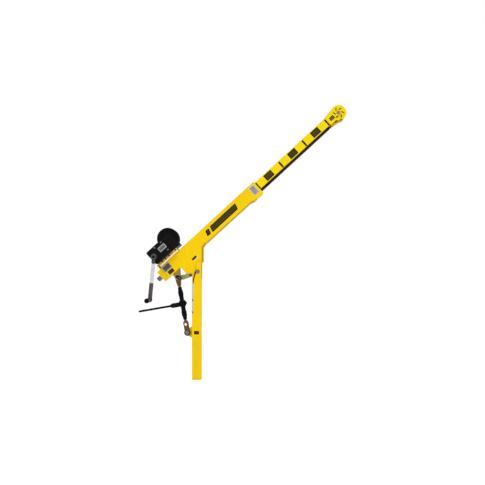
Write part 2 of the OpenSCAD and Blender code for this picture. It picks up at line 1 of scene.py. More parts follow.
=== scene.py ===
"""Looks for a portable telescoping davit crane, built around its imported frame.

Metres. The boom has its own frame: u runs along it from the pivot, v is square to
it in the vertical plane, and y is the world's. The jack has one too: s runs along
it from its lower pin and t is square to it, towards the mast. Places written in
these frames are in millimetres, and MM turns them to metres.
"""
import json
import math

import bmesh
import bpy
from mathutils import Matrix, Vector

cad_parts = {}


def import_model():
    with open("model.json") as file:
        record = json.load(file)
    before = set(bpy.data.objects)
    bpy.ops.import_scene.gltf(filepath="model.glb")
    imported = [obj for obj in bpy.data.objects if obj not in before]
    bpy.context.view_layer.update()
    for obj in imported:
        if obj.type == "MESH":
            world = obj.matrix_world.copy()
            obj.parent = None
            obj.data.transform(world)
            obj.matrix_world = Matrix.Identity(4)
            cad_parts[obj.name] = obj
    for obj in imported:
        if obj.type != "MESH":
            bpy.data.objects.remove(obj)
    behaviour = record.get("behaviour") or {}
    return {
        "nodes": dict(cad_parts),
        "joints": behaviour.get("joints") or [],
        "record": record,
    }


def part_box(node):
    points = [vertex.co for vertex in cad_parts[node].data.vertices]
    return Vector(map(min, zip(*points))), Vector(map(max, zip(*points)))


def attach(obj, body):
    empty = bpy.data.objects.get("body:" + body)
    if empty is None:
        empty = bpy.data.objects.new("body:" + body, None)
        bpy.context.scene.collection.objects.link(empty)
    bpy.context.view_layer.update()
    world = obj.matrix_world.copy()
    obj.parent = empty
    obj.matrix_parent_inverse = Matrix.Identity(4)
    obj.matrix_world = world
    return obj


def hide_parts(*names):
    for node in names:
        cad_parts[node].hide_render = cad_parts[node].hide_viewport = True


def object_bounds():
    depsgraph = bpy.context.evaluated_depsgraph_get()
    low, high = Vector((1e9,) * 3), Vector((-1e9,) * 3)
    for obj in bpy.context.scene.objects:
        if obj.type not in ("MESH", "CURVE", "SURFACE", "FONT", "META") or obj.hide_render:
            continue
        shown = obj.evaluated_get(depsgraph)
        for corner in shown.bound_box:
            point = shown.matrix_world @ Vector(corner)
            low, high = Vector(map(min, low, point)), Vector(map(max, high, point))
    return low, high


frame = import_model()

cad_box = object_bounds()
joints = {j["name"]: j for j in frame["joints"]}
slots = {s["node"]: s["material_slot"] for s in frame["record"]["subparts"]}
MM = 0.001
SIDES = (("near", -1), ("far", 1))

# ---- frames ----

PIVOT = Vector(joints["boom_luff"]["pos_m"])
ALONG = Vector(joints["boom_extend"]["axis"])
ACROSS = Vector((-ALONG.z, 0, ALONG.x))
JACK_PIN = Vector(joints["jack_swing"]["pos_m"])
JACK_ALONG = Vector(joints["lower_screw"]["axis"])
JACK_ACROSS = Vector((JACK_ALONG.z, 0, -JACK_ALONG.x))
SIDE = Vector((0, 1, 0))


def boom(u, v, y=0.0):
    """A point of the boom's frame, given in millimetres."""
    return PIVOT + (ALONG * u + ACROSS * v + SIDE * y) * MM


def jack(s, t, y):
    """A point of the jack's frame, given in millimetres."""
    return JACK_PIN + (JACK_ALONG * s + JACK_ACROSS * t + SIDE * y) * MM


def near_face(node):
    """The lowest y of a CAD node, in millimetres."""
    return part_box(node)[0].y / MM


# ---- material nodes ----

class Shader:
    """Builds one procedural material around a Principled shader."""

    def __init__(self, name):
        self.material = bpy.data.materials.new(name)
        self.material.use_nodes = True
        self.tree = self.material.node_tree
        self.shader = self.tree.nodes["Principled BSDF"]
        self.place = self.tree.nodes.new("ShaderNodeTexCoord").outputs["Object"]

    def node(self, kind, sockets=(), **settings):
        made = self.tree.nodes.new("ShaderNode" + kind)
        for key, value in settings.items():
            setattr(made, key, value)
        for socket, value in dict(sockets).items():
            if isinstance(value, bpy.types.NodeSocket):
                self.tree.links.new(value, made.inputs[socket])
            else:
                made.inputs[socket].default_value = value
        return made

    def stretched(self, scale):
        return self.node("Mapping", {"Vector": self.place, "Scale": scale}).outputs["Vector"]

    def noise(self, scale, detail=3.0, rough=0.5, place=None):
        return self.node("TexNoise", {"Vector": place or self.place, "Scale": scale,
            "Detail": detail, "Roughness": rough}).outputs["Fac"]

    def scaled(self, value, low, high, start=0.3, end=0.7):
        return self.node("MapRange", {"Value": value, "From Min": start, "From Max": end,
            "To Min": low, "To Max": high}).outputs["Result"]

    def ramp(self, value, stops):
        made = self.node("ValToRGB", {"Fac": value})
        ramp = made.color_ramp
        while len(ramp.elements) < len(stops):
            ramp.elements.new(0.5)
        for element, (position, colour) in zip(ramp.elements, stops):
            element.position = position
            element.color = (*colour, 1)
        return made.outputs["Color"]

    def mix(self, factor, first, second, blend="MIX"):
        made = self.node("Mix", data_type="RGBA", blend_type=blend)
        for socket, value in zip((made.inputs[0], made.inputs[6], made.inputs[7]),
                                 (factor, first, second)):
            if isinstance(value, bpy.types.NodeSocket):
                self.tree.links.new(value, socket)
            elif socket.type == "RGBA":
                socket.default_value = (*value, 1)
            else:
                socket.default_value = value
        return made.outputs[2]

    def math(self, operation, first, second):
        return self.node("Math", {0: first, 1: second}, operation=operation).outputs[0]

    def rounded(self, radius):
        """The surface's normal with its edges rounded off."""
        return self.node("Bevel", {"Radius": radius}, samples=6).outputs["Normal"]

    def edges(self, radius, rubbed=0.75, flat=0.99):
        """1 along edges, 0 on the faces; rubbed and flat are cosines of the normal's lean."""
        normal = self.rounded(radius)
        face = self.node("NewGeometry").outputs["True Normal"]
        lean = self.node("VectorMath", {0: normal, 1: face}, operation="DOT_PRODUCT")
        return self.scaled(lean.outputs["Value"], 1.0, 0.0, rubbed, flat)

    def crevices(self, reach, hidden, bare):
        """1 in the corners where parts meet, 0 in the open: the mask of the painted shade in
        corners.
        """
        open_sky = self.node("AmbientOcclusion", {"Distance": reach}, samples=8).outputs["AO"]
        return self.scaled(open_sky, 1.0, 0.0, hidden, bare)

    def bump(self, height, strength, distance, rounding):
        """Raises the surface by a height and rounds its edges, in the normal only."""
        normal = self.node("Bump", {"Height": height, "Strength": strength, "Distance": distance,
            "Normal": self.rounded(rounding)}).outputs["Normal"]
        self.tree.links.new(normal, self.shader.inputs["Normal"])

    def set(self, **sockets):
        for name, value in sockets.items():
            socket = self.shader.inputs[name.replace("_", " ")]
            if isinstance(value, bpy.types.NodeSocket):
                self.tree.links.new(value, socket)
            else:
                socket.default_value = (*value, 1) if socket.type == "RGBA" else value


# The brown that corners and crevices are darkened towards: painted shade.
CORNER_SHADE = (0.42, 0.20, 0.004)
materials = {}


def paint(name, colour, peel=0.1):
    """Powder-coated steel: orange peel, mottling, dust, rubbed edges and painted shade in the
    corners.
    """
    made = Shader(name)
    light = tuple(min(1.0, c * 1.04) for c in colour)
    dark = tuple(c * 0.93 for c in colour)
    dusty = tuple(c * 0.8 for c in colour)
    scuffed = tuple(min(1.0, c * 0.68 + 0.05) for c in colour)
    mottled = made.ramp(made.noise(5.0, 4.0), [(0.3, dark), (0.5, colour), (0.72, light)])
    rub = made.math("MULTIPLY", made.edges(1.6 * MM), made.scaled(made.noise(60.0), 0.0, 0.5))
    dust = made.math("MULTIPLY", made.noise(24.0, 6.0, 0.65), 0.14)
    worn = made.mix(rub, made.mix(dust, mottled, dusty), scuffed)
    # Painted shade: darker where ambient occlusion finds corners and crevices.
    corner_shade = made.math("MULTIPLY", made.crevices(16 * MM, 0.35, 0.92), 0.75)
    made.set(Base_Color=made.mix(corner_shade, worn, CORNER_SHADE),
             Roughness=made.scaled(made.noise(14.0, 5.0), 0.26, 0.4), Specular_IOR_Level=0.08)
    made.bump(made.noise(420.0, 2.0), peel, 0.4 * MM, rounding=0.9 * MM)
    materials[name] = made.material


def dark_coat(name, colour, grain=620.0, strength=0.22, gloss=(0.34, 0.5), shine=0.06, edge_wear_and_highlight=0.05):
    """Black powder coat or oxide, with a fine grain and paler edges, partly rubbed and partly a
    painted edge highlight.
    """
    made = Shader(name)
    pale = tuple(c * 1.8 for c in colour)
    base = made.ramp(made.noise(11.0, 5.0), [(0.3, colour), (0.7, pale)])
    # Paler edges: rubbing, and a painted highlight along the edges.
    rub = made.math("MULTIPLY", made.edges(2.4 * MM), made.scaled(made.noise(90.0), 0.2, 0.8))
    made.set(Base_Color=made.mix(rub, base, (edge_wear_and_highlight, edge_wear_and_highlight, edge_wear_and_highlight)),
             Roughness=made.scaled(made.noise(30.0, 4.0), *gloss), Specular_IOR_Level=shine)
    made.bump(made.noise(grain, 3.0), strength, 0.25 * MM, rounding=0.7 * MM)
    materials[name] = made.material


def plated(name, stops, gloss):
    """Plated steel with the plating's cloudy colours and fine drawing lines."""
    made = Shader(name)
    clouds = made.noise(38.0, 5.0, 0.6)
    lines = made.noise(9.0, 4.0, 0.6, made.stretched((9.0, 9.0, 60.0)))
    tone = made.mix(made.scaled(lines, 0.0, 0.35), made.ramp(clouds, stops), stops[0][1])
    rub = made.math("MULTIPLY", made.edges(0.8 * MM, rubbed=0.8), made.scaled(clouds, 0.1, 0.6))
    bare = tuple(min(0.9, c * 1.5 + 0.02) for c in stops[-1][1])
    made.set(Base_Color=made.mix(rub, tone, bare), Metallic=1.0,
             Roughness=made.scaled(lines, *gloss))
    made.bump(lines, 0.08, 0.3 * MM, rounding=0.5 * MM)
    materials[name] = made.material


def plastic(name, colour, gloss):
    """Moulded plastic with a spark-eroded grain and scuffs."""
    made = Shader(name)
    pale = tuple(c * 1.6 + 0.004 for c in colour)
    scuff = made.noise(24.0, 8.0, 0.7, made.stretched((1.0, 3.0, 1.0)))
    made.set(Base_Color=made.ramp(scuff, [(0.35, colour), (0.75, pale)]),
             Roughness=made.scaled(scuff, *gloss), Specular_IOR_Level=0.06)
    made.bump(made.noise(300.0, 2.0), 0.1, 0.3 * MM, rounding=0.6 * MM)
    materials[name] = made.material


def label(name, colour, tone, gloss=(0.22, 0.34)):
    """A bare film or plate: slight fading and handling marks."""
    made = Shader(name)
    fade = made.noise(32.0, 6.0, 0.65)
    made.set(Base_Color=made.ramp(fade, [(0.3, colour), (0.75, tone)]),
             Roughness=made.scaled(made.noise(55.0, 4.0), *gloss), Specular_IOR_Level=0.12)
    made.bump(made.noise(160.0, 2.0), 0.06, 0.2 * MM, rounding=0.2 * MM)
    materials[name] = made.material


def drive_steel(name, drive_u=-212, fade=20):
    """The extension screw: oiled and dark in the boom, rubbed grey at its drive end."""
    made = Shader(name)
    along = made.node("VectorMath", {0: made.place, 1: tuple(ALONG)}, operation="DOT_PRODUCT")
    heel = ALONG.dot(boom(drive_u, 0))
    bare = made.scaled(along.outputs["Value"], 1.0, 0.0, heel, heel + fade * MM)
    clouds = made.noise(38.0, 5.0, 0.6)
    oiled = made.ramp(clouds, [(0.3, (0.022, 0.014, 0.008)), (0.7, (0.05, 0.032, 0.018))])
    rubbed = made.ramp(clouds, [(0.3, (0.09, 0.09, 0.10)), (0.7, (0.20, 0.20, 0.22))])
    made.set(Base_Color=made.mix(bare, oiled, rubbed), Metallic=1.0,
             Roughness=made.scaled(clouds, 0.3, 0.46))
    made.bump(made.noise(140.0, 3.0), 0.1, 0.3 * MM, rounding=0.5 * MM)
    materials[name] = made.material


paint("yellow_paint", (0.88, 0.582, 0.0008))
paint("lemon_paint", (0.87, 0.652, 0.003))
# Its paler edges are partly rubbing and partly a painted edge highlight.
dark_coat("black_paint", (0.0022, 0.0024, 0.0022), edge_wear_and_highlight=0.09)
dark_coat("black_oxide", (0.0016, 0.0016, 0.0018), grain=380.0, strength=0.4,
          gloss=(0.3, 0.46), shine=0.045)
plated("dark_steel", [(0.3, (0.045, 0.043, 0.048)), (0.7, (0.10, 0.095, 0.11))],
       gloss=(0.34, 0.5))
plated("pin_steel", [(0.3, (0.14, 0.11, 0.13)), (0.7, (0.30, 0.25, 0.28))], gloss=(0.24, 0.4))
plated("grey_steel", [(0.3, (0.14, 0.15, 0.14)), (0.7, (0.26, 0.28, 0.26))], gloss=(0.28, 0.42))
plated("zinc", [(0.3, (0.50, 0.49, 0.52)), (0.55, (0.60, 0.585, 0.61)),
                (0.75, (0.68, 0.67, 0.69))], gloss=(0.26, 0.42))
plated("olive_zinc", [(0.3, (0.17, 0.15, 0.05)), (0.5, (0.27, 0.25, 0.11)),
                      (0.72, (0.40, 0.38, 0.24))], gloss=(0.28, 0.42))
plated("bright_zinc", [(0.3, (0.92, 0.80, 0.52)), (0.6, (0.97, 0.89, 0.68))], gloss=(0.3, 0.45))
plated("yellow_zinc", [(0.32, (0.46, 0.27, 0.06)), (0.5, (0.60, 0.39, 0.12)),
                       (0.62, (0.44, 0.35, 0.11)), (0.74, (0.50, 0.25, 0.14))],
       gloss=(0.3, 0.46))
plated("brown_zinc", [(0.32, (0.075, 0.042, 0.010)), (0.5, (0.125, 0.077, 0.024)),
                      (0.74, (0.17, 0.10, 0.035))], gloss=(0.3, 0.46))
plated("rust_zinc", [(0.3, (0.05, 0.018, 0.008)), (0.7, (0.10, 0.04, 0.016))], gloss=(0.34, 0.5))
plated("gold_zinc", [(0.32, (0.24, 0.13, 0.02)), (0.5, (0.36, 0.22, 0.045)),
                     (0.74, (0.22, 0.12, 0.03))], gloss=(0.3, 0.46))
plated("hub_steel", [(0.3, (0.045, 0.048, 0.034)), (0.7, (0.10, 0.105, 0.08))],
       gloss=(0.3, 0.45))
plated("bearing_bronze", [(0.3, (0.45, 0.28, 0.10)), (0.7, (0.62, 0.42, 0.17))],
       gloss=(0.24, 0.36))
plastic("wear_plastic", (0.007, 0.006, 0.005), gloss=(0.42, 0.6))
plastic("grip_plastic", (0.0022, 0.0022, 0.0025), gloss=(0.28, 0.45))
plastic("sleeve_plastic", (0.070, 0.056, 0.053), gloss=(0.4, 0.6))
# The head's guard under the cheeks: yellow paint darkened to orange-brown, as painted shade.
paint("guard_shade_paint", (0.58, 0.33, 0.002))
# Dark beads along the boom's lower corners: painted shade on the underside.
paint("underside_shade_paint", (0.20, 0.145, 0.004), peel=0.3)
paint("shade_paint", (0.37, 0.26, 0.004))
label("label_black", (0.003, 0.002, 0.001), (0.008, 0.006, 0.003))
label("label_olive", (0.038, 0.026, 0.003), (0.075, 0.052, 0.006))
# Painted shade along the inner tube's lower edge.
label("umber_shade_film", (0.030, 0.014, 0.001), (0.050, 0.024, 0.002))
label("label_taupe", (0.13, 0.105, 0.055), (0.19, 0.155, 0.085))
label("label_grey", (0.22, 0.23, 0.22), (0.32, 0.33, 0.32))
label("label_dim", (0.055, 0.06, 0.05), (0.10, 0.105, 0.085))
label("label_light", (0.50, 0.50, 0.42), (0.62, 0.62, 0.52))
label("plate_grey", (0.30, 0.32, 0.34), (0.42, 0.44, 0.46), gloss=(0.3, 0.45))
label("plate_dim", (0.075, 0.085, 0.09), (0.13, 0.14, 0.145), gloss=(0.3, 0.45))
label("label_brown", (0.035, 0.012, 0.004), (0.07, 0.03, 0.010))
# A painted highlight: the lit rim of the gusset's slot.
label("pale_highlight_film", (0.86, 0.70, 0.26), (0.90, 0.78, 0.40))
label("film_grey", (0.50, 0.47, 0.38), (0.62, 0.60, 0.54))
label("film_cream", (0.70, 0.56, 0.14), (0.76, 0.62, 0.20))
drive_steel("drive_steel")

# The CAD nodes whose finish is finer than their material slot's.
FINISHES = {
    "lemon_paint": ("inner_tube", "head_cheeks"),
    # The guard's darker orange is painted shade.
    "guard_shade_paint": ("head_guard",),
    "olive_zinc": ("jack_strap",),
    "bright_zinc": ("bracket_spacer",),
    "brown_zinc": ("lower_jack_jaw", "upper_jack_eye"),
    "gold_zinc": ("jack_cheeks",),
    "drive_steel": ("extension_screw",),
    "dark_steel": ("pawl_pin", "reversing_knob", "crank_shaft"),
    "hub_steel": ("crank_hub",),
    "sleeve_plastic": ("crank_sleeve",),
}
finish_of = {node: finish for finish, nodes in FINISHES.items() for node in nodes}
for name, item in frame["nodes"].items():
    item.data.materials.clear()
    item.data.materials.append(materials[finish_of.get(name, slots[name])])


# ---- building pieces ----

def piece(name, mesh_data, body, material, replaces=()):
    """Makes an object of a bmesh, which rides on a body and may stand for CAD nodes."""
    mesh = bpy.data.meshes.new(name)
    bmesh.ops.recalc_face_normals(mesh_data, faces=mesh_data.faces)
    mesh_data.to_mesh(mesh)
    mesh_data.free()
    mesh.shade_smooth()
    mesh.set_sharp_from_angle(angle=math.radians(32))
    made = bpy.data.objects.new(name, mesh)
    bpy.context.scene.collection.objects.link(made)
    mesh.materials.append(materials[material])
    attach(made, body)
    if replaces:
        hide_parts(*replaces)
    return made


def skin(made, rims):
    """Joins rims of vertices in turn; a rim of one vertex is a point."""
    for low, high in zip(rims, rims[1:]):
        count = max(len(low), len(high))
        for i in range(count):
            if len(low) == 1:
                made.faces.new((low[0], high[i], high[i - 1]))
            elif len(high) == 1:
                made.faces.new((low[i - 1], low[i], high[0]))
            else:
                made.faces.new((low[i - 1], low[i], high[i], high[i - 1]))


def turned(made, place, profile, steps=48, closed=False):
    """Adds a turned form of (radius, height) pairs; closed joins the last pair to the first."""
    rims = []
    for radius, height in profile:
        turns = range(steps) if radius else range(1)
        rims.append([made.verts.new(place(radius * math.cos(math.tau * i / steps),
            radius * math.sin(math.tau * i / steps), height)) for i in turns])
    skin(made, rims + rims[:1] if closed else rims)


def hexagon(made, place, low, high, flats, steps=48):
    """Adds a hexagon head whose outer corners are turned off in a cone."""
    reach = flats / 2
    drop = math.copysign(reach * 0.09, high - low)
    # Heights, and how far out the cone lets the corners stand there, in half flats.
    levels = [(low, 2.0), (high - drop, 1.155), (high - drop * 0.6, 1.085),
              (high - drop * 0.3, 1.03), (high, 0.97)]
    rims = [[made.verts.new(place(0, 0, low))]]
    for height, limit in levels:
        rim = []
        for i in range(steps):
            turn = math.tau * i / steps
            flat = reach / math.cos((turn + math.pi / 6) % (math.pi / 3) - math.pi / 6)
            radius = min(flat, limit * reach)
            rim.append(made.verts.new(place(radius * math.cos(turn), radius * math.sin(turn),
                                            height)))
        rims.append(rim)
    skin(made, rims + [[made.verts.new(place(0, 0, high))]])


def washer(made, place, low, high, bore, rim, edge=0.4):
    """Adds a flat ring whose outer edge is broken at its high end."""
    drop = math.copysign(edge, high - low)
    turned(made, place, [(bore, low), (rim, low), (rim, high - drop), (rim - edge, high),
                         (bore, high)], closed=True)


def rod(made, place, low, high, radius):
    """Adds a plain round bar with square ends."""
    turned(made, place, [(0, low), (radius, low), (radius, high), (0, high)])


def stud(made, place, low, high, radius):
    """Adds a round bar with a chamfer at its high end."""
    edge = math.copysign(min(1.5, radius * 0.25), high - low)
    turned(made, place, [(0, low), (radius, low), (radius, high - edge), (radius - abs(edge), high),
                         (0, high)])


def strand(made, path, radius, step, ripple=0.0, sides=10):
    """Adds a round bar along a path; ripple swells every second ring, as a weld bead does."""
    lengths = [(b - a).length for a, b in zip(path, path[1:])]
    count = max(2, round(sum(lengths) / step))
    rims = []
    normal = (path[1] - path[0]).orthogonal().normalized()
    heading = (path[1] - path[0]).normalized()
    for k in range(count + 1):
        left = sum(lengths) * k / count
        part = 0
        while part < len(lengths) - 1 and left > lengths[part]:
            left -= lengths[part]
            part += 1
        turn = (path[part + 1] - path[part]).normalized()
        normal = heading.rotation_difference(turn) @ normal
        heading = turn
        centre = path[part] + turn * left
        size = radius * (1 - ripple * (k % 2))
        if k in (0, count):
            rims.append([made.verts.new(centre)])
            continue
        other = turn.cross(normal)
        rims.append([made.verts.new(centre + (normal * math.cos(math.tau * i / sides)
            + other * math.sin(math.tau * i / sides)) * size) for i in range(sides)])
    skin(made, rims)


def ridge(made, place, foot, crest, start, end, pitch, hand, steps=24):
    """Adds a screw's thread as one helical ridge that runs out at both ends; hand 1 is right."""
    count = int((end - start) / pitch * steps)
    rims = []
    for k in range(count + 1):
        turn = hand * math.tau * k / steps
        height = start + pitch * k / steps
        top = foot + (crest - foot) * min(1, 2 * k / steps, 2 * (count - k) / steps)
        section = [(foot - 0.2, -0.42), (top, -0.1), (top, 0.1), (foot - 0.2, 0.42)]
        rims.append([made.verts.new(place(r * math.cos(turn), r * math.sin(turn),
                                          height + pitch * h)) for r, h in section])
    skin(made, rims)
    made.faces.new(rims[0])
    made.faces.new(rims[-1])


def axle(u, v):
    """A frame for turned pieces whose axis crosses the boom; its height is y."""
    return lambda a, b, h: boom(u + a, v + b, h)


def jack_screw(a, b, h):
    """A frame for turned pieces whose axis runs along the jack; its height is s."""
    return jack(h, a, b)


def mirrored(side):
    """The boom's frame with y measured outwards from one side; the near side is -1."""
    return lambda u, v, y: boom(u, v, -side * y)


def upright(x, z, y):
    """A frame of the world's x and z, for flat pieces on the mast."""
    return Vector((x, y, z)) * MM


def round_corners(corners, radius, steps=5):
    """A polygon's corners, each turned into an arc."""
    points = []
    for i, corner in enumerate(corners):
        before = (Vector(corners[i - 1]) - Vector(corner)).normalized()
        after = (Vector(corners[(i + 1) % len(corners)]) - Vector(corner)).normalized()
        half = before.angle(after) / 2
        centre = Vector(corner) + (before + after).normalized() * radius / math.sin(half)
        start = Vector(corner) + before * radius / math.tan(half) - centre
        end = Vector(corner) + after * radius / math.tan(half) - centre
        for k in range(steps + 1):
            points.append(centre + start.slerp(end, k / steps).normalized() * radius)
    return points


def flat_piece(name, body, place, corners, y, material, thickness=0.5, radius=3.0):
    """A thin plate or film whose outline is given in a frame, standing out from y."""
    sunk, shoulder, slope = 0.1, 0.7, 0.4
    made = bmesh.new()
    points = round_corners(corners, radius) if radius else [Vector(c) for c in corners]
    rims = [[made.verts.new(place(p.x, p.y, y - depth)) for p in points]
            for depth in (-sunk, thickness * shoulder)]
    centre = sum(points, Vector((0, 0))) / len(points)
    inset = [p + (centre - p).normalized() * slope for p in points]
    rims.append([made.verts.new(place(p.x, p.y, y - thickness)) for p in inset])
    for low, high in zip(rims, rims[1:]):
        for i in range(len(low)):
            made.faces.new((low[i - 1], low[i], high[i], high[i - 1]))
    made.faces.new(rims[0])
    made.faces.new(rims[-1])
    return piece(name, made, body, material)


def rectangle(low, high):
    """The corners of a rectangle, from its lowest and its highest."""
    return [(low[0], low[1]), (high[0], low[1]), (high[0], high[1]), (low[0], high[1])]


# ---- bare panels and marks ----

plate_y = near_face("side_plate_near")
tube_y = near_face("inner_tube")
cheek_y = near_face("head_cheeks")
mast_y = near_face("mast_tube")
cover_y = near_face("winch_fasteners") + 3     # the screws' heads stand 3 mm out of the cover


def panel(name, body, place, corners, y, border, field, rim=5.0, radius=3.0, thickness=0.5):
    """A bare label: a border and a plain field inside it."""
    flat_piece(name, body, place, corners, y, border, thickness, radius)
    middle = sum((Vector(c) for c in corners), Vector((0, 0))) / len(corners)
    inner = []
    for corner in corners:
        reach = Vector(corner) - middle
        inner.append(middle + Vector((reach.x - math.copysign(rim, reach.x),
                                      reach.y - math.copysign(rim, reach.y))))
    flat_piece(name + "_field", body, place, inner, y - thickness, field, 0.3,
               max(radius - 2, 0.8))


panel("boom_panel", "boom", boom, [(302, 150), (577, 150), (592, 200), (317, 200)], plate_y,
      "label_black", "label_olive", rim=7)
panel("boom_panel_end", "boom", boom, [(250, 152), (286, 152), (300, 196), (264, 196)], plate_y,
      "label_black", "label_olive", rim=9)
panel("mouth_panel", "boom", boom, rectangle((748, 136), (800, 214)), plate_y,
      "label_light", "label_grey", rim=6)
panel("heel_panel", "boom", boom, rectangle((-195, 167), (-122, 217)), plate_y,
      "label_grey", "label_dim", rim=7)
flat_piece("heel_mark", "boom", boom, rectangle((-181, 130), (-130, 161)), plate_y,
           "label_brown")
# A slot's dark inside as a brown film, and its lit lower rim as a pale film: painted shade and a
# painted highlight.
flat_piece("gusset_slot_highlight", "boom", boom, rectangle((34, 82), (84, 103)), plate_y,
           "pale_highlight_film", radius=9)
flat_piece("gusset_slot_shade", "boom", boom, rectangle((31, 88), (78, 106)), plate_y - 0.5,
           "label_brown", radius=8)
# The gusset's front edge, which the photograph shows as a darker band: a strip of painted shade.
for name, side in SIDES:
    flat_piece(f"gusset_edge_{name}", "boom", mirrored(side),
               [(206, 119.5), (165.2, 111.4), (87.3, 27.3), (77.5, 36.5), (158, 122.5),
                (204, 131)], plate_y, "shade_paint", thickness=0.8, radius=0)
flat_piece("mast_panel", "mast", upright, rectangle((-20, 363), (20, 391)), mast_y,
           "label_brown")
# The pale film along the mast's rear edge, and the two marks on it.
flat_piece("mast_edge_film", "mast", upright,
           [(-37.9, 523), (-31, 523), (-28, 640), (-27, 770), (-31, 782), (-37.9, 782)], mast_y,
           "film_grey", radius=1.0)
flat_piece("mast_edge_fade", "mast", upright,
           [(-31, 523), (-26, 523), (-21, 640), (-20, 762), (-27, 770), (-28, 640)], mast_y,
           "film_cream", thickness=0.3, radius=1.0)
for number, low in enumerate((536, 632)):
    flat_piece(f"mast_edge_dot_{number}", "mast", upright,
               rectangle((-36, low), (-26, low + 11)), mast_y - 0.5,
               "label_brown", thickness=0.3, radius=2.5)
for number, start in enumerate((905, 1165, 1415)):
    panel(f"extension_panel_{number}", "extension", boom,
          rectangle((start, 155), (start + 78, 208)), tube_y, "label_black", "label_olive", rim=8)
# The position marks pass under the mouth's pads, so they are thinner than the gap there.
for number, centre in enumerate((822, 1075, 1329, 1576)):
    flat_piece(f"position_mark_{number}", "extension", boom,
               rectangle((centre - 7.5, 150), (centre + 7.5, 207)), tube_y,
               "label_black", thickness=0.2, radius=1.0)
panel("head_panel", "extension", boom, rectangle((1606, 163), (1647, 191)), cheek_y,
      "label_black", "label_taupe", rim=6, radius=2.0)
# An umber band along the inner tube's lower edge, above the black strip: painted shade where the
# tube's face turns under.
for name, side in SIDES:
    flat_piece(f"tube_underside_shade_{name}", "extension", mirrored(side),
               rectangle((580, 139.6), (1582, 147.5)), tube_y,
               "umber_shade_film", thickness=0.3, radius=0)
panel("winch_plate", "boom", boom, rectangle((-107, 303), (-41, 342)), cover_y,
      "plate_grey", "plate_dim", rim=6.5, thickness=0.8)

# ---- pins and bolts ----

PIVOT_R = 12.5
JACK_PIN_R = 8
ear_y = -mast_y     # the far face of the mast's fork
pivot_pin = axle(0, 0)
made = bmesh.new()
stud(made, pivot_pin, ear_y + 2, ear_y + 12, PIVOT_R)
rod(made, pivot_pin, ear_y + 2, -ear_y - 1, PIVOT_R)
turned(made, pivot_pin, [(0, -ear_y), (15, -ear_y), (15, -ear_y - 6.5), (13.5, -ear_y - 8),
                         (7.6, -ear_y - 8), (7, -ear_y - 7.4), (7, -ear_y - 6), (0, -ear_y - 6)])
washer(made, pivot_pin, ear_y, ear_y + 3, PIVOT_R, 19)
piece("pivot_pin_turned", made, "mast", "pin_steel", replaces=["pivot_pin"])


def cotter(name, body, place, wire, length):
    """A split pin: an eye above, two legs through the hole, and their bent ends."""
    half = length / 2
    turns = [math.radians(turn) for turn in range(30, 331, 30)]
    eye = [(wire * 3 * math.sin(turn), half + 1 - wire * 3 * math.cos(turn)) for turn in turns]
    legs = ([(wire * 5, -half), (wire, -half + 7), (wire, half - 4)] + eye
            + [(-wire, half - 4), (-wire, -half + 7), (-wire * 5, -half)])
    made = bmesh.new()
    strand(made, [place(a, b) for a, b in legs], wire * MM, 1.0 * MM, sides=8)
    piece(name, made, body, "zinc")


# A dark strip from the pivot pin's head down the mast's rear edge: painted shadow between the
# mast's ear and the gusset.
flat_piece("ear_shadow_strip", "mast", upright,
           [(-2, 862), (-19, 812), (-23, 771), (-29, 771), (-27, 814), (-13, 866), (-8, 876),
            (2, 878)], mast_y, "label_brown", thickness=1.2, radius=2.0)
cotter("pivot_cotter", "mast", lambda a, b: PIVOT + Vector((a, ear_y + 7, b)) * MM, 1.1, 44)

low_near, low_far = (corner.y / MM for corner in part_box("lower_jack_bolt"))


def lower_pin(a, b, h):
    """A frame for turned pieces on the lower jack pin; its height is y."""
    return jack(a, b, h)


made = bmesh.new()
rod(made, lower_pin, -17, 19, JACK_PIN_R)
turned(made, lower_pin, [(JACK_PIN_R, low_near + 8.4), (26, low_near + 8.4), (26, low_near + 5),
                         (24.5, low_near + 3.5), (19, low_near + 3.5), (17.5, low_near + 4.6),
                         (JACK_PIN_R, low_near + 4.6)], closed=True)
washer(made, lower_pin, 16.6, 19, JACK_PIN_R, 17)
hexagon(made, lower_pin, 19, 26.4, 23.4)
stud(made, lower_pin, 26.4, low_far, JACK_PIN_R)
piece("lower_pin_turned", made, "mast", "dark_steel", replaces=["lower_jack_bolt"])
made = bmesh.new()
turned(made, lower_pin, [(0, low_near + 4.6), (13.5, low_near + 4.6), (13.5, low_near + 1.5),
                         (12, low_near), (5, low_near), (4, low_near + 2), (0, low_near + 2)])
piece("lower_pin_head", made, "mast", "pin_steel")

upper_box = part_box("upper_jack_pin")
upper = (upper_box[0] + upper_box[1]) / 2
up_near, up_far = (corner.y / MM for corner in upper_box)
strap_near, strap_far = (corner.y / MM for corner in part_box("jack_strap"))


def upper_pin(a, b, h):
    """A frame for turned pieces on the upper jack pin; its height is y."""
    return Vector((upper.x + a * MM, h * MM, upper.z + b * MM))


made = bmesh.new()
turned(made, upper_pin, [(0, -strap_far), (13.5, -strap_far), (13.5, up_near + 1.5),
                         (12, up_near), (5, up_near), (4, up_near + 1.5), (0, up_near + 1.5)])
rod(made, upper_pin, -strap_far - 1, strap_far + 1, JACK_PIN_R)
stud(made, upper_pin, strap_far + 1, up_far, JACK_PIN_R)
washer(made, upper_pin, strap_far, strap_far + 2, JACK_PIN_R, 14)
piece("upper_pin_turned", made, "boom", "dark_steel", replaces=["upper_jack_pin"])
cotter("upper_cotter", "boom",
       lambda a, b: upper + Vector((a, 0, b)) * MM + SIDE * (strap_far + 4) * MM, 0.9, 32)
flat_piece("strap_clip", "boom", upright, [(-58, 828), (-43, 831), (-41, 847), (-56, 844)],
           strap_near, "label_olive", thickness=1.2, radius=1.5)

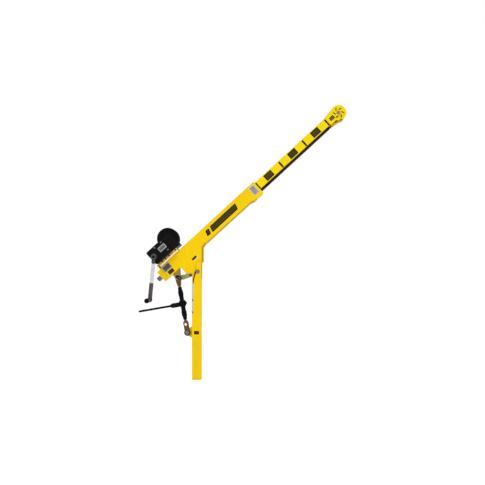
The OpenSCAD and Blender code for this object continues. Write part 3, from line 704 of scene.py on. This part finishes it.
# The upper pin's handle: a flat black loop folded back along the tie plate.
loop = [(-6, 2), (2, -9), (12, -16), (24, -20), (33, -17), (33, -9), (24, -1), (10, 8), (-1, 10)]
made = bmesh.new()
strand(made, [upper_pin(a, b, up_near - 3) for a, b in loop + loop[:1]], 4.4 * MM, 2 * MM,
       sides=12)
piece("upper_pin_handle", made, "boom", "grip_plastic")

# ---- winch fittings ----

SHAFT = (-168, 308)
DRUM = (3, 355)
WINCH_HALF = 56     # half the width over the side plates
BASE_V = 253        # the underside of the winch's base
COVER_SCREWS = ((-121, 362), (-54, 361), (-51, 281))
BASE_BOLTS = [(u, y) for u in (-150, -30) for y in (-30, 30)]
BRACKET_BOLTS = (-150, -115, -80, -12)
# Radii, and heights out of the face that the head stands on.
COVER_SCREW = [(0, 0), (4.5, 0.8), (4.5, 1.6), (3.6, 2.7), (2.0, 3), (1.8, 1.8), (0, 1.8)]
BRACKET_BOLT = [(0, -7), (3.9, -7), (3.9, 0), (7.2, 0), (6.8, 1.8), (5.0, 2.9), (2.8, 3.2),
                (2.5, 1.8), (0, 1.8)]

made = bmesh.new()
for u, v in COVER_SCREWS:
    washer(made, axle(u, v), cover_y, cover_y - 0.8, 2.5, 5.6)
    turned(made, axle(u, v), [(r, cover_y - h) for r, h in COVER_SCREW], steps=24)
for u, y in BASE_BOLTS:
    def upward(a, b, h, u=u, y=y):
        return boom(u + a, h, y + b)
    washer(made, upward, BASE_V + 5, BASE_V + 6.6, 5, 9.5)
    hexagon(made, upward, BASE_V + 6.6, BASE_V + 11, 13.8)
    hexagon(made, upward, BASE_V - 6, BASE_V - 11, 13.8)
piece("winch_bolts", made, "boom", "grey_steel", replaces=["winch_fasteners"])

bracket_y = WINCH_HALF - 1
made = bmesh.new()
for u in BRACKET_BOLTS:
    for side in (-1, 1):
        turned(made, axle(u, BASE_V - 8), [(r, side * (bracket_y + h)) for r, h in BRACKET_BOLT],
               steps=24)
piece("bracket_bolts", made, "boom", "rust_zinc")

drum_axle = axle(*DRUM)
made = bmesh.new()
stud(made, drum_axle, 0, WINCH_HALF + 8, 10)
stud(made, drum_axle, 0, -WINCH_HALF - 8, 10)
for side in (-1, 1):
    washer(made, drum_axle, side * WINCH_HALF, side * (WINCH_HALF + 1.8), 10, 15)
    hexagon(made, drum_axle, side * (WINCH_HALF + 1.8), side * (WINCH_HALF + 7), 25.6)
piece("drum_axle_turned", made, "boom", "black_oxide", replaces=["drum_axle"])

# ---- crank fittings ----

GRIP = Vector(joints["grip_spin"]["pos_m"])
arm_y = near_face("crank_arm")
hub_y = near_face("crank_hub")
grip_y = near_face("crank_grip")


def grip_axle(a, b, h):
    """A frame for turned pieces on the grip's spindle; its height is y."""
    return Vector((GRIP.x + a * MM, h * MM, GRIP.z + b * MM))


made = bmesh.new()
hexagon(made, axle(*SHAFT), hub_y + 9, hub_y + 4.5, 17.2)
stud(made, axle(*SHAFT), hub_y + 9, hub_y + 2.5, 5.5)
stud(made, grip_axle, arm_y + 8, grip_y - 1, 5)
hexagon(made, grip_axle, arm_y + 8, arm_y + 14, 13)
turned(made, grip_axle, [(0, grip_y - 0.8), (8, grip_y - 0.8), (7.6, grip_y - 2.4),
                         (5.4, grip_y - 3.6), (1.6, grip_y - 4), (1.4, grip_y - 2.6),
                         (0, grip_y - 2.6)], steps=32)
piece("crank_bolts_turned", made, "crank", "black_oxide", replaces=["crank_bolt"])

# ---- head fittings ----

SHEAVE = (1695, 172)
SHEAVE_BOLT_R = 8
cheek = -cheek_y
tube_half = -tube_y
sheave_bolt = axle(*SHEAVE)
made = bmesh.new()
stud(made, sheave_bolt, 0, cheek + 12, SHEAVE_BOLT_R)
rod(made, sheave_bolt, 0, -cheek - 1, SHEAVE_BOLT_R)
for side in (-1, 1):
    washer(made, sheave_bolt, side * cheek, side * (cheek + 1.6), SHEAVE_BOLT_R, 13)
    washer(made, sheave_bolt, side * 16, side * tube_half, SHEAVE_BOLT_R, 12)
hexagon(made, sheave_bolt, -cheek - 1.6, -cheek - 7, 22.4)
hexagon(made, sheave_bolt, cheek + 1.6, cheek + 8, 22.4)
piece("sheave_bolt_turned", made, "extension", "pin_steel", replaces=["sheave_bolt"])


def around(first, last):
    """Points of the head's round end, from one bearing to another in degrees."""
    count = max(2, round(abs(last - first) / 4))
    turns = [math.radians(first + (last - first) * k / count) for k in range(count + 1)]
    return [(SHEAVE[0] + HEAD_R * math.cos(t), SHEAVE[1] + HEAD_R * math.sin(t)) for t in turns]


def slot(centre, heading, length, width, steps=8):
    """The loop of a slot with round ends."""
    loop = []
    for end in (1, -1):
        for k in range(steps + 1):
            turn = math.pi * (k / steps - 0.5)
            a = (length - width) / 2 + width / 2 * math.cos(turn)
            b = width / 2 * math.sin(turn)
            loop.append((centre[0] + end * (a * math.cos(heading) - b * math.sin(heading)),
                         centre[1] + end * (a * math.sin(heading) + b * math.cos(heading))))
    return loop


def plate(made, place, loops, near, far):
    """Adds a flat plate; the first loop is its outline and the others are holes."""
    faces = []
    for y in (near, far):
        rims = [[made.verts.new(place(u, v, y)) for u, v in loop] for loop in loops]
        edges = [made.edges.new((rim[i - 1], rim[i])) for rim in rims for i in range(len(rim))]
        bmesh.ops.triangle_fill(made, use_beauty=True, edges=edges)
        faces.append(rims)
    for low, high in zip(*faces):
        for i in range(len(low)):
            made.faces.new((low[i - 1], low[i], high[i], high[i - 1]))


# The cheeks: a straight heel on the tube, a round end with a step below, and six slots in
# a ring. The solids' slots lean the other way round, so this piece stands for them.
HEAD_R = 62
HEEL_U = 1583
HEEL_V = (140, 219)
STEP = (1680, 124)
SLOT_RING = 34
SLOT_SIZE = (27, 8.6)
FIRST_SLOT = 26     # its bearing, in degrees
SLOT_LEAN = 37      # degrees back from its bearing

step = [(STEP[0], SHEAVE[1] - math.sqrt(HEAD_R ** 2 - (SHEAVE[0] - STEP[0]) ** 2)), STEP,
        (SHEAVE[0] - math.sqrt(HEAD_R ** 2 - (SHEAVE[1] - STEP[1]) ** 2), STEP[1])]
outline = ([(HEEL_U, HEEL_V[1])] + around(97.4, -104) + step + around(-131, -150)
           + [(HEEL_U, HEEL_V[0])])
holes = []
for number in range(6):
    bearing = math.radians(60 * number + FIRST_SLOT)
    centre = (SHEAVE[0] + SLOT_RING * math.cos(bearing), SHEAVE[1] + SLOT_RING * math.sin(bearing))
    holes.append(slot(centre, bearing - math.radians(SLOT_LEAN), *SLOT_SIZE))
made = bmesh.new()
for side in (-1, 1):
    plate(made, boom, [outline] + holes, side * tube_half, side * cheek)
piece("head_cheeks_slotted", made, "extension", "lemon_paint",
      replaces=["head_cheeks"])

# ---- jack threads ----

for name, start, end, hand in (("lower", 96, 221, 1), ("upper", 249, 378, -1)):
    made = bmesh.new()
    ridge(made, jack_screw, 10.2, 11.0, start, end, 4.0, hand)
    piece(f"{name}_screw_thread", made, f"jack_{name}", "brown_zinc")

# ---- weld beads, and beads of painted shade ----

LUG_X = -38.4
LUG_Z = (329.5, 426.5)
STUB_U = -200.6     # the boom's heel, where its stub is welded on
BOX_V = (119, 227)  # the boom's underside and top
HEAD_U = 1582.6     # where the cheeks' heels meet the inner tube

# Each row has the body, the finish, the bead's radius and its paths.
beads = {
    "lug_welds": ("mast", "yellow_paint", 3.0,
        [[Vector((LUG_X, y, z)) * MM for z in LUG_Z] for y in (-7.5, 7.5)]),
    "strap_welds": ("boom", "yellow_paint", 2.2,
        [[boom(-82, 48, y), boom(-70, 40.6, y), boom(-44, 21.5, y)]
         for y in (plate_y, -plate_y)]),
    "cheek_welds": ("boom", "yellow_paint", 2.6,
        [[boom(-163, 118.6, y), boom(-89, 118.6, y)] for y in (-20.5, 20.5)]),
    "stub_welds": ("boom", "yellow_paint", 2.6,
        [[boom(STUB_U, 126, y), boom(STUB_U, 210, y)] for y in (-27.6, 27.6)]
        + [[boom(STUB_U, v, -20), boom(STUB_U, v, 20)] for v in (119.5, 217.8)]),
    "seam_welds": ("boom", "yellow_paint", 1.6,
        [[boom(-196, BOX_V[1], y), boom(816, BOX_V[1], y)] for y in (-27.5, 27.5)]
        + [[boom(208, BOX_V[0], y), boom(688, BOX_V[0], y)] for y in (-27.5, 27.5)]),
    # Painted shade: dark beads along the lower corners, where the underside turns from the light.
    "underside_seams": ("boom", "underside_shade_paint", 2.6,
        [[boom(745, 106.4, y), boom(725, 109.4, y), boom(700, 116.2, y), boom(688, BOX_V[0], y),
          boom(206, 120.2, y)] for y in (plate_y + 0.8, -plate_y - 0.8)]),
    "head_welds": ("extension", "lemon_paint", 2.2,
        [[boom(HEAD_U, 146, y), boom(HEAD_U, 210, y)] for y in (tube_y - 0.4, -tube_y + 0.4)]),
}
for name, (body, finish, radius, paths) in beads.items():
    made = bmesh.new()
    for path in paths:
        strand(made, path, radius * MM, radius * 0.9 * MM, ripple=0.14)
    piece(name, made, body, finish)

# ---- studio ----

PALE = (0.86, 0.86, 0.86)
FLOOR_GLOW = 0.45       # brings the floor to white where it is seen
WORLD_LIGHT = 0.62      # on the object; what is seen of the world is 1, which is white


def studio_material(name):
    """Diffuse for the light, and white where the camera, gloss or glass sees it."""
    made = Shader(name)
    path = made.node("LightPath")
    seen = made.math("MAXIMUM", path.outputs["Is Camera Ray"],
                     made.math("MAXIMUM", path.outputs["Is Glossy Ray"],
                               path.outputs["Is Transmission Ray"]))
    made.set(Base_Color=PALE, Roughness=0.9, Emission_Color=(1, 1, 1),
             Emission_Strength=made.math("MULTIPLY", seen, FLOOR_GLOW))
    return made.material


def floor():
    """The plain floor that the object stands on."""
    made = bmesh.new()
    bmesh.ops.create_grid(made, x_segments=1, y_segments=1, size=30)
    mesh = bpy.data.meshes.new("floor")
    made.to_mesh(mesh)
    made.free()
    item = bpy.data.objects.new("floor", mesh)
    bpy.context.scene.collection.objects.link(item)
    item.location.z = cad_box[0].z
    mesh.materials.append(studio_material("floor"))


def world():
    """An even pale surround, seen by the camera, gloss and glass as plain white."""
    made = bpy.data.worlds.new("studio")
    bpy.context.scene.world = made
    made.use_nodes = True
    tree = made.node_tree
    background = tree.nodes["Background"]
    path = tree.nodes.new("ShaderNodeLightPath")
    seen = path.outputs["Is Camera Ray"]
    for other in ("Is Glossy Ray", "Is Transmission Ray"):
        either = tree.nodes.new("ShaderNodeMath")
        either.operation = "MAXIMUM"
        tree.links.new(seen, either.inputs[0])
        tree.links.new(path.outputs[other], either.inputs[1])
        seen = either.outputs[0]
    strength = tree.nodes.new("ShaderNodeMapRange")
    strength.inputs["To Min"].default_value = WORLD_LIGHT
    strength.inputs["To Max"].default_value = 1.0
    tree.links.new(seen, strength.inputs["Value"])
    tree.links.new(strength.outputs["Result"], background.inputs["Strength"])
    background.inputs["Color"].default_value = (1, 1, 1, 1)


def softbox(name, place, target, size, power):
    """A soft lamp, width by height in metres, aimed at a target."""
    lamp = bpy.data.lights.new(name, "AREA")
    lamp.shape = "RECTANGLE"
    lamp.size, lamp.size_y = size
    lamp.energy = power
    item = bpy.data.objects.new(name, lamp)
    item.location = place
    item.rotation_euler = (Vector(target) - Vector(place)).to_track_quat("-Z", "Y").to_euler()
    bpy.context.scene.collection.objects.link(item)


floor()
world()
middle = (cad_box[0] + cad_box[1]) / 2
softbox("key", (-2.4, -3.4, 3.4), middle, (2.4, 2.0), 90)
softbox("fill", (3.2, -2.6, 1.6), middle, (2.2, 2.2), 30)
softbox("back", (0.6, 3.0, 3.4), middle, (3.0, 1.6), 60)

# The camera looks level along +Y from just below the boom's pivot; the shift frames it.
lens = bpy.data.cameras.new("camera")
lens.lens = 29.32
lens.sensor_width = 36
lens.shift_x = 0.00515
lens.shift_y = 0.067
camera = bpy.data.objects.new("camera", lens)
camera.location = (0.348, -3.2, 0.839)
camera.rotation_euler = (math.pi / 2, 0, 0)
bpy.context.scene.collection.objects.link(camera)
bpy.context.scene.camera = camera
bpy.context.scene.view_settings.view_transform = "Standard"
